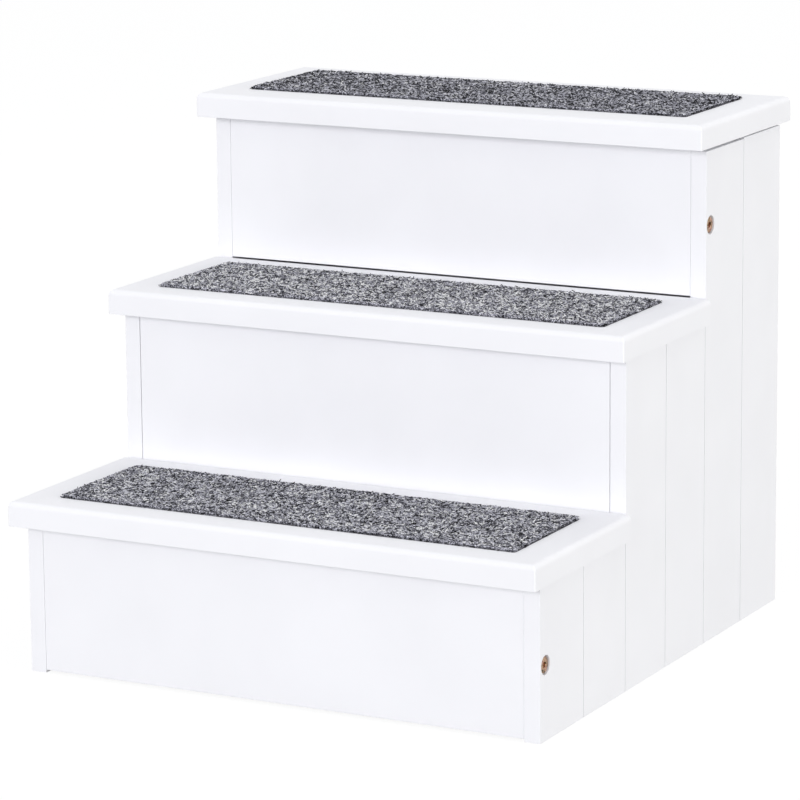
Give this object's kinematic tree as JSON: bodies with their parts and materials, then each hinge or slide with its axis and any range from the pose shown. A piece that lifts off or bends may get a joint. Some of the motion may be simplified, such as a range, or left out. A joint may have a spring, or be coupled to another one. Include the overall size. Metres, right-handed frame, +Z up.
{
  "type": "pet stairs",
  "caption": "Low closed wooden stairs for a pet: grooved side walls, plain risers and overhanging treads, each with an inset carpet pad.",
  "frame": {"origin": "on the floor, in the middle of the overall footprint", "axes": "+X to the right as seen from the front, +Y from the front to the back, +Z up"},
  "size_m": [0.41, 0.4334, 0.384],
  "materials": {
    "painted_wood": "white satin paint",
    "bare_wood": "turned beech, unpainted",
    "carpet": "needle-punched heather grey pile",
    "plated_steel": "yellow zinc plating"
  },
  "bodies": {
    "root": {"right_board_1": "painted_wood", "right_board_2": "painted_wood", "right_board_3": "painted_wood", "right_board_4": "painted_wood", "right_board_5": "painted_wood", "right_board_6": "painted_wood", "left_board_1": "painted_wood", "left_board_2": "painted_wood", "left_board_3": "painted_wood", "left_board_4": "painted_wood", "left_board_5": "painted_wood", "left_board_6": "painted_wood", "right_bottom_rail": "painted_wood", "right_lower_rail": "painted_wood", "right_middle_rail": "painted_wood", "right_upper_rail": "painted_wood", "left_bottom_rail": "painted_wood", "left_lower_rail": "painted_wood", "left_middle_rail": "painted_wood", "left_upper_rail": "painted_wood", "riser_1": "painted_wood", "riser_2": "painted_wood", "riser_3": "painted_wood", "tread_1": "painted_wood", "tread_2": "painted_wood", "tread_3": "painted_wood", "carpet_pad_1": "carpet", "carpet_pad_2": "carpet", "carpet_pad_3": "carpet", "back_panel": "painted_wood", "connector_screws": "plated_steel", "riser_dowels": "bare_wood", "right_rail_screws": "plated_steel", "left_rail_screws": "plated_steel", "tread_screws": "plated_steel", "panel_screws": "plated_steel"}
  },
  "joints": []
}
